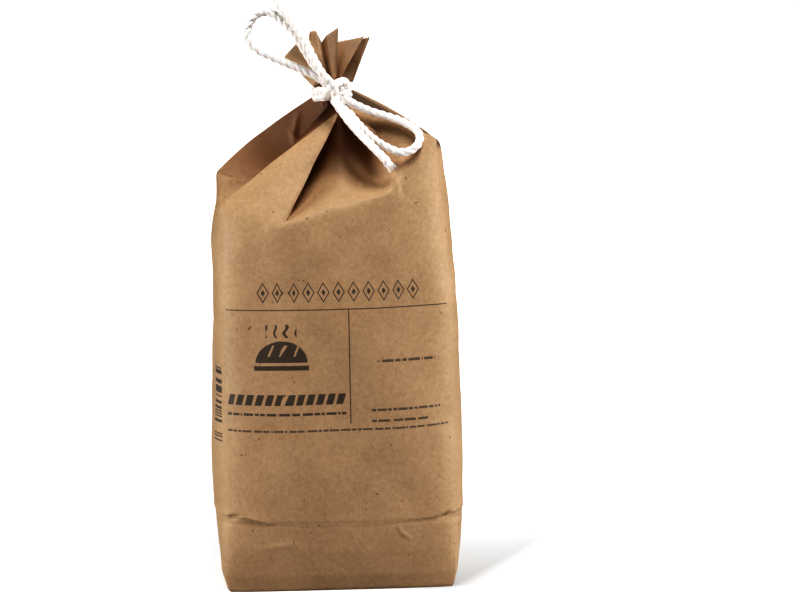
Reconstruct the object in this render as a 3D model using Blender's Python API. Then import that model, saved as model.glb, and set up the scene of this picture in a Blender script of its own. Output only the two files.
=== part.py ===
"""A one kilogram kraft paper bag of flour, standing, its neck gathered and tied in a bow with cotton cord.

The bag is one shut solid: a block bottom, a bulged body, pleated shoulders, a round neck under the tie and
a fanned ruff of paper above it. The tie is a knot with two loops and two loose ends.
The front faces -Y, the origin is at the middle of the flat base, and sizes are written in millimetres.
"""
import math

import bmesh
import bpy
import numpy as np

MM = 0.001

# Driving sizes of the bag
PANEL_FRONT = 108.0
PANEL_SIDE = 64.0
PERIMETER = 2 * (PANEL_FRONT + PANEL_SIDE)
CREASE_HEIGHT = 33.0
CORNER_ROUND = 13.0
CORNER_CUT = 0.16
BODY_TOP = 140.0
NECK_X = -2.0
NECK_RADIUS = 5.4
NECK_LOW = 220.8
NECK_HIGH = 232.6
BULGE_FADE = 1.6
RUFF_BASE_HEIGHT = 234.2
RUFF_BASE_RADIUS = 9.0
RUFF_VALLEY_RADIUS = 5.0
RUFF_WALL = 1.3
RUFF_LEAST_SHARE = 0.3
RUFF_STEP_DOWN = 0.2

# Body section by height: height, corner x, corner y, bulge of the front and back, bulge of the sides
SECTIONS = (
    (0.0, 52.0, 30.6, 0.6, 0.5),
    (1.2, 52.9, 31.3, 0.9, 0.8),
    (8.0, 54.2, 32.2, 2.6, 1.6),
    (20.0, 54.9, 32.6, 4.6, 2.7),
    (31.0, 55.2, 32.4, 6.0, 3.4),
    (CREASE_HEIGHT, 55.0, 32.0, 6.2, 3.4),
    (35.0, 55.3, 32.3, 6.5, 3.5),
    (55.0, 55.1, 32.0, 7.8, 3.8),
    (90.0, 54.3, 31.6, 8.4, 4.0),
    (130.0, 53.2, 31.0, 8.6, 4.0),
    (160.0, 52.0, 30.4, 8.4, 3.8),
    (200.0, 49.5, 29.0, 7.0, 3.0),
)
# The top of the bag leans a little to the left of the base
LEAN_HEIGHTS = (0.0, 40.0, 140.0, 205.0)
LEAN_SHIFTS = (0.0, 0.0, -1.5, -4.0)

# The filled front is flat in the middle and slopes back towards its upright edges, through a bend that
# is wide at the bottom and tighter further up
SLOPE_WIDTH = 30.0
SLOPE_BEND_HEIGHTS = (60.0, 100.0, 150.0)
SLOPE_BENDS = (15.0, 12.0, 6.5)

# How far below a side's tucked fold the body is drawn in, and how quickly the tuck narrows beside it
TUCK_REACH = 28.0
TUCK_NARROWING = 2.2


class Fold:
    """One crease, ridge or valley of the paper, from the body up to the tie."""

    def __init__(
        self, column, paper, shoulder, angle, collar, height,
        lift=0.0, side=0.0, late=1.0, sharp=True, tuck=0.0,
    ):
        self.column = column
        self.paper = paper
        self.shoulder = shoulder
        self.angle = angle
        self.collar = collar
        self.height = height
        self.lift = lift
        self.side = side
        self.late = late
        self.sharp = sharp
        self.tuck = tuck


# Folds anticlockwise from the front left corner, seen from above: mesh column, paper distance round the
# bag, shoulder height, angle round the neck from the front, radius and height just below the tie
RIGHT = PANEL_FRONT
BACK = PANEL_FRONT + PANEL_SIDE
LEFT = 2 * PANEL_FRONT + PANEL_SIDE
FOLDS = (
    Fold(0, -7.0, 177.0, 10.0, 9.5, 218.5, lift=0.5),
    Fold(9, 28.5, 168.5, 14.0, 9.6, 217.5, lift=1.0, side=-2.0, late=1.5),
    Fold(12, 31.5, 170.0, 16.0, 5.4, 215.0, lift=-9.0, side=4.0),
    Fold(18, 54.0, 177.0, 22.0, 5.4, 215.5, lift=-7.0, late=1.4, sharp=False),
    Fold(21, 76.0, 183.5, 36.0, 5.4, 216.0, lift=-9.0, side=-6.0, late=1.1, sharp=False),
    Fold(24, 84.5, 186.5, 41.0, 9.0, 219.5, lift=5.0, side=-3.0),
    Fold(28, 93.0, 197.0, 46.0, 6.6, 221.0, lift=-5.0, sharp=False),
    Fold(31, RIGHT, 208.0, 56.0, 8.6, 222.5),
    Fold(38, RIGHT + 32.0, 201.0, 74.0, 5.8, 221.5, lift=-11.0, tuck=5.0),
    Fold(45, BACK - 5.0, 206.0, 98.0, 10.4, 226.0, lift=2.0, tuck=-3.0),
    Fold(53, BACK + 30.0, 178.0, 140.0, 9.4, 220.5, lift=1.5),
    Fold(60, BACK + 56.0, 168.0, 180.0, 6.0, 219.0, lift=-9.0, sharp=False),
    Fold(67, BACK + 80.0, 176.0, 222.0, 9.4, 220.0, lift=1.5),
    Fold(75, LEFT + 6.0, 191.0, 272.0, 10.0, 223.8, lift=2.0, tuck=-1.5),
    Fold(84, LEFT + 32.0, 189.0, 322.0, 5.6, 220.0, lift=-14.0, tuck=9.0),
    Fold(90, LEFT + 46.0, 184.0, 345.0, 8.4, 220.5, lift=-6.0, tuck=4.0),
)
COLUMNS = 96

# Ruff columns: mesh column, then the place of the paper's top edge; ridges and valleys take turns
RUFF = (
    (76, "ridge", (-24.0, -3.0, 244.0)),
    (78, "valley", (-18.5, 0.5, 248.0)),
    (80, "ridge", (-17.5, -8.0, 250.5)),
    (82, "valley", (-12.0, -3.0, 250.0)),
    (86, "ridge", (-11.5, -11.0, 255.0)),
    (89, "valley", (-8.0, -4.0, 250.5)),
    (94, "ridge", (-4.5, -11.5, 254.0)),
    (106, "ridge", (0.4, -13.5, 257.0)),
    (109, "valley", (-1.5, -4.5, 250.0)),
    (122, "ridge", (12.5, -9.5, 253.0)),
    (126, "valley", (9.0, -2.0, 251.0)),
    (136, "ridge", (15.5, 1.5, 252.5)),
    (142, "valley", (8.5, 3.0, 250.5)),
    (148, "ridge", (10.5, 11.5, 252.0)),
    (151, "valley", (3.5, 5.5, 249.0)),
    (155, "ridge", (-0.5, 14.5, 253.5)),
    (158, "valley", (-4.0, 6.0, 249.0)),
    (161, "ridge", (-10.5, 12.5, 252.0)),
    (164, "valley", (-9.5, 4.5, 249.0)),
    (167, "ridge", (-19.0, 7.0, 249.0)),
    (169, "valley", (-14.0, 1.5, 247.0)),
)

# The cord: its diameter, the spacing and facets of its tubes, and the two turns round the neck
CORD_DIAMETER = 3.8
CORD_SPACING = 4.5
CORD_FACETS = 4
CURVE_STEPS = 12
WELD_DISTANCE = 1e-6
WRAP_CLEARANCE = 0.35
WRAP_RADIUS = NECK_RADIUS + WRAP_CLEARANCE + CORD_DIAMETER / 2
WRAP_TILT = math.radians(5.0)
WRAP_HEIGHTS = (226.0, 229.2)
WRAP_SEGMENTS = 40
WRAP_FACETS = 12

# The cords that cross in the knot: a strap over the front, and the small tight turn at its right
KNOT_ROUTES = (
    (
        (1.4, -9.2, 231.4), (0.9, -12.6, 232.6), (-2.6, -14.8, 229.9), (-5.6, -12.8, 226.6),
        (-5.8, -8.4, 225.2),
    ),
    (
        (-1.6, -9.6, 226.6), (2.2, -12.4, 226.6), (4.6, -11.6, 229.3), (3.6, -11.8, 232.4),
        (0.4, -12.0, 233.2),
    ),
)

# The bow's loose cords, each from its end near the knot
CORD_ROUTES = {
    "loop_left": (
        (-7.0, -13.0, 233.2), (-10.6, -13.0, 235.6), (-14.7, -12.0, 237.5), (-18.8, -11.0, 239.3),
        (-24.2, -10.2, 241.5), (-30.0, -9.6, 244.0), (-35.8, -9.2, 246.9), (-39.4, -8.7, 250.4),
        (-40.5, -8.2, 254.9), (-39.0, -8.2, 259.8), (-35.6, -8.2, 263.2), (-31.1, -8.7, 264.0),
        (-26.7, -9.7, 261.6), (-22.6, -10.8, 257.9), (-19.1, -12.2, 253.8), (-16.4, -13.0, 249.4),
        (-13.6, -13.4, 244.6), (-10.6, -13.6, 239.8), (-6.4, -13.6, 235.2),
    ),
    "tail_left": (
        (-3.6, -19.2, 232.4), (-7.2, -19.3, 236.4), (-10.2, -18.7, 241.4), (-12.9, -17.6, 246.8),
        (-15.6, -17.0, 252.1), (-18.1, -15.7, 256.7), (-21.2, -14.0, 260.9), (-25.1, -12.2, 265.3),
        (-27.1, -11.2, 269.0), (-28.4, -10.2, 272.6),
    ),
    "loop_right": (
        (5.6, -14.2, 223.6), (9.3, -14.3, 221.8), (15.2, -16.2, 219.3), (21.3, -18.0, 217.4),
        (26.9, -20.8, 215.6), (31.6, -23.6, 213.4), (34.9, -26.6, 210.9), (35.9, -29.6, 207.8),
        (34.4, -32.0, 204.4), (30.7, -33.4, 202.0), (26.3, -33.4, 201.6), (21.6, -31.0, 203.4),
        (16.8, -27.4, 206.2), (12.2, -22.4, 210.2), (8.0, -17.2, 215.0), (4.6, -12.8, 219.6),
    ),
    "tail_right": (
        (-2.4, -16.4, 225.0), (0.6, -18.3, 220.6), (4.4, -21.7, 215.2), (8.5, -25.3, 210.3),
        (12.6, -30.0, 206.0), (16.7, -33.8, 201.7), (19.9, -35.6, 198.4), (22.0, -36.2, 195.3),
    ),
}

BODY_LEVELS = (0.0, 1.2, 8.0, 20.0, 30.0, CREASE_HEIGHT, 36.0, 48.0, 66.0, 90.0, 115.0, BODY_TOP)
SHOULDER_START = (0.35, 0.7, 1.0)
SHOULDER_STEPS = (0.06, 0.14, 0.24, 0.36, 0.48, 0.6, 0.72, 0.84, 0.93, 1.0)
RUFF_STEPS = (0.0, 0.2, 0.45, 0.72, 1.0)


def section_values(height):
    """Corner x, corner y, front bulge and side bulge of the body at a height."""
    heights = [row[0] for row in SECTIONS]
    return [np.interp(height, heights, [row[i] for row in SECTIONS]) for i in range(1, 5)]


def front_swell(from_edge, height):
    """Share of the front's full bulge at a distance from its nearer upright edge."""
    bend = np.interp(height, SLOPE_BEND_HEIGHTS, SLOPE_BENDS)
    if from_edge < SLOPE_WIDTH - bend:
        return from_edge / SLOPE_WIDTH
    return 1 - max(SLOPE_WIDTH + bend - from_edge, 0.0) ** 2 / (4 * bend * SLOPE_WIDTH)


def body_point(paper, height):
    """The point of the bulged body at a distance round the paper and a height."""
    corner_x, corner_y, front_bulge, side_bulge = section_values(height)
    paper = paper % PERIMETER
    half = paper >= PERIMETER / 2
    along = paper - PERIMETER / 2 if half else paper
    if along < PANEL_FRONT:
        share = along / PANEL_FRONT
        to_corner = min(along, PANEL_FRONT - along)
        swell = front_bulge * front_swell(to_corner, height)
        point = np.array([corner_x * (2 * share - 1), -corner_y - swell])
        inward = np.array([1.0 if share < 0.5 else -1.0, 1.0])
    else:
        share = (along - PANEL_FRONT) / PANEL_SIDE
        point = np.array([corner_x + side_bulge * 4 * share * (1 - share), corner_y * (2 * share - 1)])
        to_corner = min(along - PANEL_FRONT, PANEL_SIDE - (along - PANEL_FRONT))
        inward = np.array([-1.0, 1.0 if share < 0.5 else -1.0])
    if to_corner < CORNER_ROUND:
        point = point + inward * CORNER_CUT * CORNER_ROUND * (1 - to_corner / CORNER_ROUND) ** 2
    if half:
        point = -point
    lean = np.interp(height, LEAN_HEIGHTS, LEAN_SHIFTS)
    return np.array([point[0] + lean, point[1], height])


def round_neck(angle, radius, height):
    """A point round the neck, its angle measured from the front towards the right."""
    turn = math.radians(angle)
    return np.array([NECK_X + radius * math.sin(turn), -radius * math.cos(turn), height])


def tuck_in(fold):
    """How far the start of a tucked side fold lies inside the body."""
    return np.array([fold.tuck if fold.paper > PERIMETER / 2 else -fold.tuck, 0.0, 0.0])


def tuck_between(here, there, share):
    """The tuck of the paper between two folds, which narrows towards the deeper one."""
    if abs(here.tuck) > abs(there.tuck):
        here, there, share = there, here, 1 - share
    return tuck_in(here) + (tuck_in(there) - tuck_in(here)) * share ** TUCK_NARROWING


def fold_path(fold, share):
    """A point on a fold line, from the shoulder at 0 to the collar below the tie at 1."""
    start = body_point(fold.paper, fold.shoulder) + tuck_in(fold)
    end = round_neck(fold.angle, fold.collar, fold.height)
    span = np.linalg.norm(end - start)
    inward = (end - start) / span
    across = np.array([-inward[1], inward[0], 0.0])
    across /= np.linalg.norm(across)
    upward = np.cross(inward, across)
    swell = math.sin(math.pi * share ** fold.late)
    return start + (end - start) * share + upward * fold.lift * swell + across * fold.side * swell


def between(table, column):
    """The two neighbours of a mesh column in a round table of column numbers, and the share between them."""
    for here, there in zip(table, table[1:] + [table[0] + COLUMNS]):
        for turn in (0, COLUMNS):
            if here <= column + turn <= there:
                return table.index(here), (column + turn - here) / (there - here)
    raise ValueError(column)


FOLD_COLUMNS = [fold.column for fold in FOLDS]
RUFF_COLUMNS = [row[0] for row in RUFF]


def column_values(column):
    """Paper distance, shoulder height and neck angle of a mesh column."""
    index, share = between(FOLD_COLUMNS, column)
    here = FOLDS[index]
    there = FOLDS[(index + 1) % len(FOLDS)]
    wrapped = index + 1 == len(FOLDS)
    paper = here.paper + share * (there.paper + PERIMETER * wrapped - here.paper)
    shoulder = here.shoulder + share * (there.shoulder - here.shoulder)
    angle = here.angle + share * (there.angle + 360 * wrapped - here.angle)
    return paper, shoulder, angle


def upper_body_point(column, height):
    """A point of the body on a mesh column, drawn in towards the tucked folds of its sides."""
    index, across = between(FOLD_COLUMNS, column)
    paper, shoulder, _ = column_values(column)
    tuck = tuck_between(FOLDS[index], FOLDS[(index + 1) % len(FOLDS)], across)
    depth = min(max((height - shoulder + TUCK_REACH) / TUCK_REACH, 0.0), 1.0) ** 2
    return body_point(paper, height) + tuck * depth


def shoulder_point(column, share):
    """A point of the pleated shoulder, on a mesh column, from the body at 0 to the collar at 1."""
    index, across = between(FOLD_COLUMNS, column)
    near = [FOLDS[(index + step) % len(FOLDS)] for step in (-1, 0, 1, 2)]
    paper, shoulder, _ = column_values(column)
    flat_start = body_point(near[1].paper, near[1].shoulder) * (1 - across)
    flat_start = flat_start + body_point(near[2].paper, near[2].shoulder) * across
    flat_start = flat_start + tuck_in(near[1]) * (1 - across) + tuck_in(near[2]) * across
    bulge = body_point(paper, shoulder) + tuck_between(near[1], near[2], across) - flat_start
    before, here, there, after = [fold_path(fold, share) for fold in near]
    chord = there - here
    here_slope = chord if near[1].sharp else (there - before) / 2
    there_slope = chord if near[2].sharp else (after - here) / 2
    a, b = across, 1 - across
    flat = here * b * b * (1 + 2 * a) + there * a * a * (1 + 2 * b)
    flat = flat + here_slope * a * b * b - there_slope * a * a * b
    return flat + bulge * (1 - share) ** BULGE_FADE


def ruff_point(column, share):
    """A point of the fanned ruff, from its base at 0 to the paper's top edge at 1."""
    index, across = between(RUFF_COLUMNS, column if column >= RUFF_COLUMNS[0] else column + COLUMNS)
    ends = []
    for row in (RUFF[index], RUFF[(index + 1) % len(RUFF)]):
        _, _, angle = column_values(row[0] % COLUMNS)
        radius = RUFF_BASE_RADIUS if row[1] == "ridge" else RUFF_VALLEY_RADIUS
        low = round_neck(angle, radius, RUFF_BASE_HEIGHT)
        ends.append(low * (1 - share) + np.array(row[2]) * share)
    return ends[0] * (1 - across) + ends[1] * across


def bag_rings():
    """The rings of points that the bag's outer skin and the ruff's inside are lofted through."""
    rings = []
    for height in BODY_LEVELS:
        rings.append([body_point(column_values(k)[0], height) for k in range(COLUMNS)])
    for share in SHOULDER_START:
        ring = []
        for k in range(COLUMNS):
            shoulder = column_values(k)[1]
            ring.append(upper_body_point(k, BODY_TOP + (shoulder - BODY_TOP) * share))
        rings.append(ring)
    for share in SHOULDER_STEPS:
        rings.append([shoulder_point(k, share) for k in range(COLUMNS)])
    for height in (NECK_LOW, NECK_HIGH):
        rings.append([round_neck(column_values(k)[2], NECK_RADIUS, height) for k in range(COLUMNS)])
    outer = [[ruff_point(k, share) for k in range(COLUMNS)] for share in RUFF_STEPS]
    rings += outer
    for ring in reversed(outer[1:]):
        rings.append([toward_axis(point) for point in ring])
    return rings


def toward_axis(point):
    """A point of the ruff moved in by the thickness of the gathered paper."""
    axis = np.array([NECK_X, 0.0, point[2]])
    away = point - axis
    distance = np.linalg.norm(away)
    inner = max(distance - 2 * RUFF_WALL, RUFF_LEAST_SHARE * distance)
    return axis + away / distance * inner - np.array([0.0, 0.0, RUFF_STEP_DOWN])


def smooth_route(points, spacing):
    """Places along the smooth curve through hand-chosen points, about a spacing apart."""
    fine = []
    whole = [points[0] * 2 - points[1], *points, points[-1] * 2 - points[-2]]
    for before, here, there, after in zip(whole, whole[1:], whole[2:], whole[3:]):
        for step in range(CURVE_STEPS):
            t = step / CURVE_STEPS
            fine.append(
                0.5 * (2 * here + (there - before) * t + (2 * before - 5 * here + 4 * there - after) * t * t
                       + (3 * here - 3 * there + after - before) * t ** 3)
            )
    fine.append(points[-1])
    fine = np.array(fine)
    along = np.concatenate([[0.0], np.cumsum(np.linalg.norm(np.diff(fine, axis=0), axis=1))])
    count = max(2, round(along[-1] / spacing))
    places = np.linspace(0.0, along[-1], count + 1)
    return np.stack([np.interp(places, along, fine[:, axis]) for axis in range(3)], axis=1)


def paint(name, colour, roughness):
    """A plain material."""
    material = bpy.data.materials.new(name)
    material.use_nodes = True
    shader = material.node_tree.nodes["Principled BSDF"]
    shader.inputs["Base Color"].default_value = (*colour, 1.0)
    shader.inputs["Roughness"].default_value = roughness
    shader.inputs["Metallic"].default_value = 0.0
    material.diffuse_color = (*colour, 1.0)
    return material


def add_bag(collection, material):
    """The shut paper bag, lofted ring by ring from the base to the ruff."""
    mesh_builder = bmesh.new()
    rings = []
    for ring in bag_rings():
        rings.append([mesh_builder.verts.new(point * MM) for point in ring])
    for low, high in zip(rings, rings[1:]):
        for k in range(COLUMNS):
            after = (k + 1) % COLUMNS
            mesh_builder.faces.new((low[k], low[after], high[after], high[k]))
    mesh_builder.faces.new(list(reversed(rings[0])))
    mesh_builder.faces.new(rings[-1])
    bmesh.ops.triangulate(mesh_builder, faces=mesh_builder.faces)
    mesh = bpy.data.meshes.new("bag")
    mesh_builder.to_mesh(mesh)
    mesh_builder.free()
    mesh.materials.append(material)
    bag = bpy.data.objects.new("bag", mesh)
    collection.objects.link(bag)
    return bag


def add_cord(collection, name, route, material):
    """A length of cord: a round tube along the smooth curve through its route."""
    curve = bpy.data.curves.new(name, "CURVE")
    curve.dimensions = "3D"
    curve.bevel_depth = CORD_DIAMETER / 2 * MM
    curve.bevel_resolution = CORD_FACETS
    curve.use_fill_caps = True
    curve.materials.append(material)
    places = smooth_route([np.array(point) for point in route], CORD_SPACING)
    spline = curve.splines.new("POLY")
    spline.points.add(len(places) - 1)
    for point, place in zip(spline.points, places):
        point.co = (*(place * MM), 1.0)
    cord = bpy.data.objects.new(name, curve)
    collection.objects.link(cord)
    return cord


def as_mesh(cord):
    """The same cord as a closed mesh object, its caps welded on."""
    evaluated = cord.evaluated_get(bpy.context.evaluated_depsgraph_get())
    mesh = bpy.data.meshes.new_from_object(evaluated)
    mesh_builder = bmesh.new()
    mesh_builder.from_mesh(mesh)
    bmesh.ops.remove_doubles(mesh_builder, verts=mesh_builder.verts, dist=WELD_DISTANCE)
    mesh_builder.to_mesh(mesh)
    mesh_builder.free()
    solid = bpy.data.objects.new(cord.name + " solid", mesh)
    solid.matrix_world = cord.matrix_world
    cord.users_collection[0].objects.link(solid)
    bpy.data.objects.remove(cord)
    return solid


def add_knot(collection, helpers, material):
    """The two turns of cord round the neck and the crossed cords of the knot, as one solid."""
    for turn_height in WRAP_HEIGHTS:
        bpy.ops.mesh.primitive_torus_add(
            major_segments=WRAP_SEGMENTS,
            minor_segments=WRAP_FACETS,
            major_radius=WRAP_RADIUS * MM,
            minor_radius=CORD_DIAMETER / 2 * MM,
            location=(NECK_X * MM, 0.0, turn_height * MM),
            rotation=(0.0, -WRAP_TILT, 0.0),
        )
        wrap = bpy.context.object
        for home in list(wrap.users_collection):
            home.objects.unlink(wrap)
        helpers.objects.link(wrap)
    for number, route in enumerate(KNOT_ROUTES):
        crossing = add_cord(helpers, f"knot crossing {number}", route, material)
        bpy.context.view_layer.update()
        as_mesh(crossing)
    pieces = list(helpers.objects)
    base = pieces[0]
    knot = bpy.data.objects.new("knot", base.data.copy())
    knot.matrix_world = base.matrix_world
    knot.data.materials.clear()
    knot.data.materials.append(material)
    collection.objects.link(knot)
    bpy.data.objects.remove(base)
    union = knot.modifiers.new("union", "BOOLEAN")
    union.operation = "UNION"
    union.solver = "EXACT"
    union.use_self = True
    union.operand_type = "COLLECTION"
    union.collection = helpers
    bpy.context.view_layer.update()
    evaluated = knot.evaluated_get(bpy.context.evaluated_depsgraph_get())
    mesh = bpy.data.meshes.new_from_object(evaluated)
    knot.modifiers.clear()
    knot.data = mesh
    for piece in list(helpers.objects):
        bpy.data.objects.remove(piece)
    return knot


for leftover in list(bpy.data.objects):
    bpy.data.objects.remove(leftover)
flour_bag = bpy.data.collections.new("Bag of flour")
bpy.context.scene.collection.children.link(flour_bag)
knot_pieces = bpy.data.collections.new("Knot pieces")
bpy.context.scene.collection.children.link(knot_pieces)
kraft = paint("kraft paper", (0.43, 0.25, 0.13), 0.85)
cotton = paint("cotton cord", (0.80, 0.76, 0.72), 0.9)
add_bag(flour_bag, kraft)
add_knot(flour_bag, knot_pieces, cotton)
for name, route in CORD_ROUTES.items():
    add_cord(flour_bag, name, route, cotton)
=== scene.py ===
import math

import bpy
import numpy as np
from mathutils import Matrix, Vector


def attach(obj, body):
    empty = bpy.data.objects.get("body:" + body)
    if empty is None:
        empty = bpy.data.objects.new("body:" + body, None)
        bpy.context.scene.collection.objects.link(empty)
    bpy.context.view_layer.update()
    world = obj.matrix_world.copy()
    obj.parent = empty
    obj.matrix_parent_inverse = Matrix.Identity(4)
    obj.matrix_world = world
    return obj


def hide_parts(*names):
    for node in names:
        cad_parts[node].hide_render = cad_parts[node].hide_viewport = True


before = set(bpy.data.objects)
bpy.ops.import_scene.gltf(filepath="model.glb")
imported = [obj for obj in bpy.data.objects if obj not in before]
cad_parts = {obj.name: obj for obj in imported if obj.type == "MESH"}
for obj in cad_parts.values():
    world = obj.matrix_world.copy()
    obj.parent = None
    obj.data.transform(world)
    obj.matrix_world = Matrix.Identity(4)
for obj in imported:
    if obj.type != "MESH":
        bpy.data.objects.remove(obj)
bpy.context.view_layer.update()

# The view
# The photograph was taken with a long lens at the height of the tie, looking down a little and turned to
# the right.
CAMERA_SENSOR = 36.0
CAMERA_LENS = 72.36
CAMERA_NEAREST = 0.01
CAMERA_PLACE = (-0.0360, -0.7497, 0.2310)
CAMERA_DOWN = 7.6
CAMERA_TURN = -5.0
camera_data = bpy.data.cameras.new("camera")
camera_data.sensor_width = CAMERA_SENSOR
camera_data.lens = CAMERA_LENS
camera_data.clip_start = CAMERA_NEAREST
camera = bpy.data.objects.new("camera", camera_data)
bpy.context.scene.collection.objects.link(camera)
bpy.context.scene.camera = camera
camera.location = CAMERA_PLACE
camera.rotation_euler = (math.radians(90.0 - CAMERA_DOWN), 0.0, math.radians(CAMERA_TURN))

# The paper bag
# One sheet of brown kraft paper, glued into a tube with a block bottom. Filled with flour, its front bulges,
# and its top is gathered by hand into a few deep folds that all run in under the tie.
MM = 0.001
PANEL_FRONT = 108.0
PANEL_SIDE = 64.0
PERIMETER = 2 * (PANEL_FRONT + PANEL_SIDE)
CREASE_HEIGHT = 33.0
CORNER_ROUND = 13.0
CORNER_CUT = 0.16
CORNER_CUT_AT_BASE = 0.3
BULGE_FADE = 1.6
TUCK_REACH = 28.0
TUCK_NARROWING = 2.2
BODY_TOP = 140.0
NECK_X = -2.0
NECK_RADIUS = 5.4
NECK_LOW = 220.8
NECK_HIGH = 232.6
COLUMNS = 96

# Body section by height: height, corner x, corner y, bulge of the front and back, bulge of the sides
SECTIONS = (
    (0.0, 52.0, 30.6, 0.6, 0.5),
    (1.2, 52.9, 31.3, 0.9, 0.8),
    (8.0, 54.2, 32.2, 2.6, 1.6),
    (20.0, 54.9, 32.6, 4.6, 2.7),
    (31.0, 55.2, 32.4, 6.0, 3.4),
    (CREASE_HEIGHT, 55.1, 32.2, 6.3, 3.4),
    (35.0, 55.3, 32.3, 6.6, 3.5),
    (55.0, 55.1, 32.0, 7.8, 3.8),
    (90.0, 54.3, 31.6, 8.4, 4.0),
    (130.0, 53.2, 31.0, 8.6, 4.0),
    (160.0, 52.0, 30.4, 8.4, 3.8),
    (200.0, 49.5, 29.0, 7.0, 3.0),
)
LEAN_HEIGHTS = (0.0, 40.0, 140.0, 205.0)
LEAN_SHIFTS = (0.0, 0.0, -1.5, -4.0)

# The filled front is flat in the middle and slopes back towards its upright edges
SLOPE_WIDTH = 30.0
SLOPE_BEND_HEIGHTS = (60.0, 100.0, 150.0)
SLOPE_BENDS = (15.0, 12.0, 6.5)


class Fold:
    """One crease, ridge or valley of the paper, from the body up to the tie."""

    def __init__(
        self, column, paper, shoulder, angle, collar, height,
        lift=0.0, side=0.0, late=1.0, sharp=True, tuck=0.0,
    ):
        self.column = column
        self.paper = paper
        self.shoulder = shoulder
        self.angle = angle
        self.collar = collar
        self.height = height
        self.lift = lift
        self.side = side
        self.late = late
        self.sharp = sharp
        self.tuck = tuck


# Folds anticlockwise from the front left corner, seen from above: mesh column, paper distance round the
# bag, shoulder height, angle round the neck from the front, radius and height just below the tie
RIGHT = PANEL_FRONT
BACK = PANEL_FRONT + PANEL_SIDE
LEFT = 2 * PANEL_FRONT + PANEL_SIDE
FOLDS = (
    Fold(0, -7.0, 177.0, 10.0, 9.5, 218.5, lift=0.5),
    Fold(9, 28.5, 168.5, 14.0, 9.6, 217.5, lift=1.0, side=-2.0, late=1.5),
    Fold(12, 31.5, 170.0, 8.0, 5.0, 214.0, lift=-9.0, side=9.0),
    Fold(18, 54.0, 177.0, 20.0, 5.4, 215.0, lift=-7.0, late=1.4, sharp=False),
    Fold(21, 76.0, 183.5, 36.0, 5.4, 215.5, lift=-7.5, side=-6.5, late=1.0, sharp=False),
    Fold(24, 84.5, 186.5, 41.0, 9.2, 219.5, lift=5.5, side=-3.0),
    Fold(28, 93.0, 197.0, 46.0, 6.6, 221.0, lift=-5.0, sharp=False),
    Fold(31, RIGHT, 208.0, 56.0, 8.6, 222.5),
    Fold(38, RIGHT + 32.0, 201.0, 74.0, 5.6, 221.0, lift=-14.0, tuck=6.0),
    Fold(45, BACK - 5.0, 206.0, 98.0, 8.6, 229.6, lift=1.5, tuck=-3.0),
    Fold(53, BACK + 30.0, 178.0, 140.0, 9.4, 220.5, lift=1.5),
    Fold(60, BACK + 56.0, 168.0, 180.0, 6.0, 219.0, lift=-9.0, sharp=False),
    Fold(67, BACK + 80.0, 176.0, 222.0, 9.4, 220.0, lift=1.5),
    Fold(75, LEFT + 6.0, 191.0, 272.0, 8.4, 226.2, lift=1.5, tuck=-1.5),
    Fold(84, LEFT + 32.0, 189.0, 324.0, 5.2, 219.0, lift=-16.0, side=3.0, tuck=9.5),
    Fold(90, LEFT + 46.0, 184.0, 345.0, 9.4, 221.5, lift=-5.0, late=0.7, tuck=3.0),
)
FOLD_COLUMNS = [fold.column for fold in FOLDS]


def front_swell(from_edge, heights):
    """Share of the full bulge at a distance from the nearer upright edge of the front."""
    bend = np.interp(heights, SLOPE_BEND_HEIGHTS, SLOPE_BENDS)
    left_over = np.maximum(SLOPE_WIDTH + bend - from_edge, 0.0)
    turned = 1 - left_over ** 2 / (4 * bend * SLOPE_WIDTH)
    return np.where(from_edge < SLOPE_WIDTH - bend, from_edge / SLOPE_WIDTH, turned)


def body_points(paper, heights):
    """Points of the bulged body at one distance round the paper and several heights."""
    table = np.array(SECTIONS)
    corner_x, corner_y, front_bulge, side_bulge = (
        np.interp(heights, table[:, 0], table[:, i]) for i in range(1, 5)
    )
    paper = paper % PERIMETER
    half = paper >= PERIMETER / 2
    along = paper - PERIMETER / 2 if half else paper
    if along < PANEL_FRONT:
        share = along / PANEL_FRONT
        to_corner = min(along, PANEL_FRONT - along)
        x = corner_x * (2 * share - 1)
        y = -corner_y - front_bulge * front_swell(to_corner, heights)
        inward = (1.0 if share < 0.5 else -1.0, 1.0)
    else:
        share = (along - PANEL_FRONT) / PANEL_SIDE
        x = corner_x + side_bulge * 4 * share * (1 - share)
        y = corner_y * (2 * share - 1)
        to_corner = min(along - PANEL_FRONT, PANEL_SIDE - (along - PANEL_FRONT))
        inward = (-1.0, 1.0 if share < 0.5 else -1.0)
    cut = CORNER_CUT * CORNER_ROUND * max(0.0, 1 - to_corner / CORNER_ROUND) ** 2
    cut = cut * np.interp(heights, (0.0, CREASE_HEIGHT), (CORNER_CUT_AT_BASE, 1.0))
    x = x + inward[0] * cut
    y = y + inward[1] * cut
    if half:
        x, y = -x, -y
    lean = np.interp(heights, LEAN_HEIGHTS, LEAN_SHIFTS)
    return np.stack([x + lean, y, np.asarray(heights, float)], axis=-1)


def round_neck(angle, radius, height):
    """A point round the neck, its angle measured from the front towards the right."""
    turn = math.radians(angle)
    return np.array([NECK_X + radius * math.sin(turn), -radius * math.cos(turn), height])


def tuck_in(fold):
    """How far the start of a tucked side fold lies inside the body."""
    return np.array([fold.tuck if fold.paper > PERIMETER / 2 else -fold.tuck, 0.0, 0.0])


def tuck_between(here, there, share):
    """The tuck of the paper between two folds, which narrows towards the deeper one."""
    if abs(here.tuck) > abs(there.tuck):
        here, there, share = there, here, 1 - share
    return tuck_in(here) + (tuck_in(there) - tuck_in(here)) * share ** TUCK_NARROWING


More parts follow.
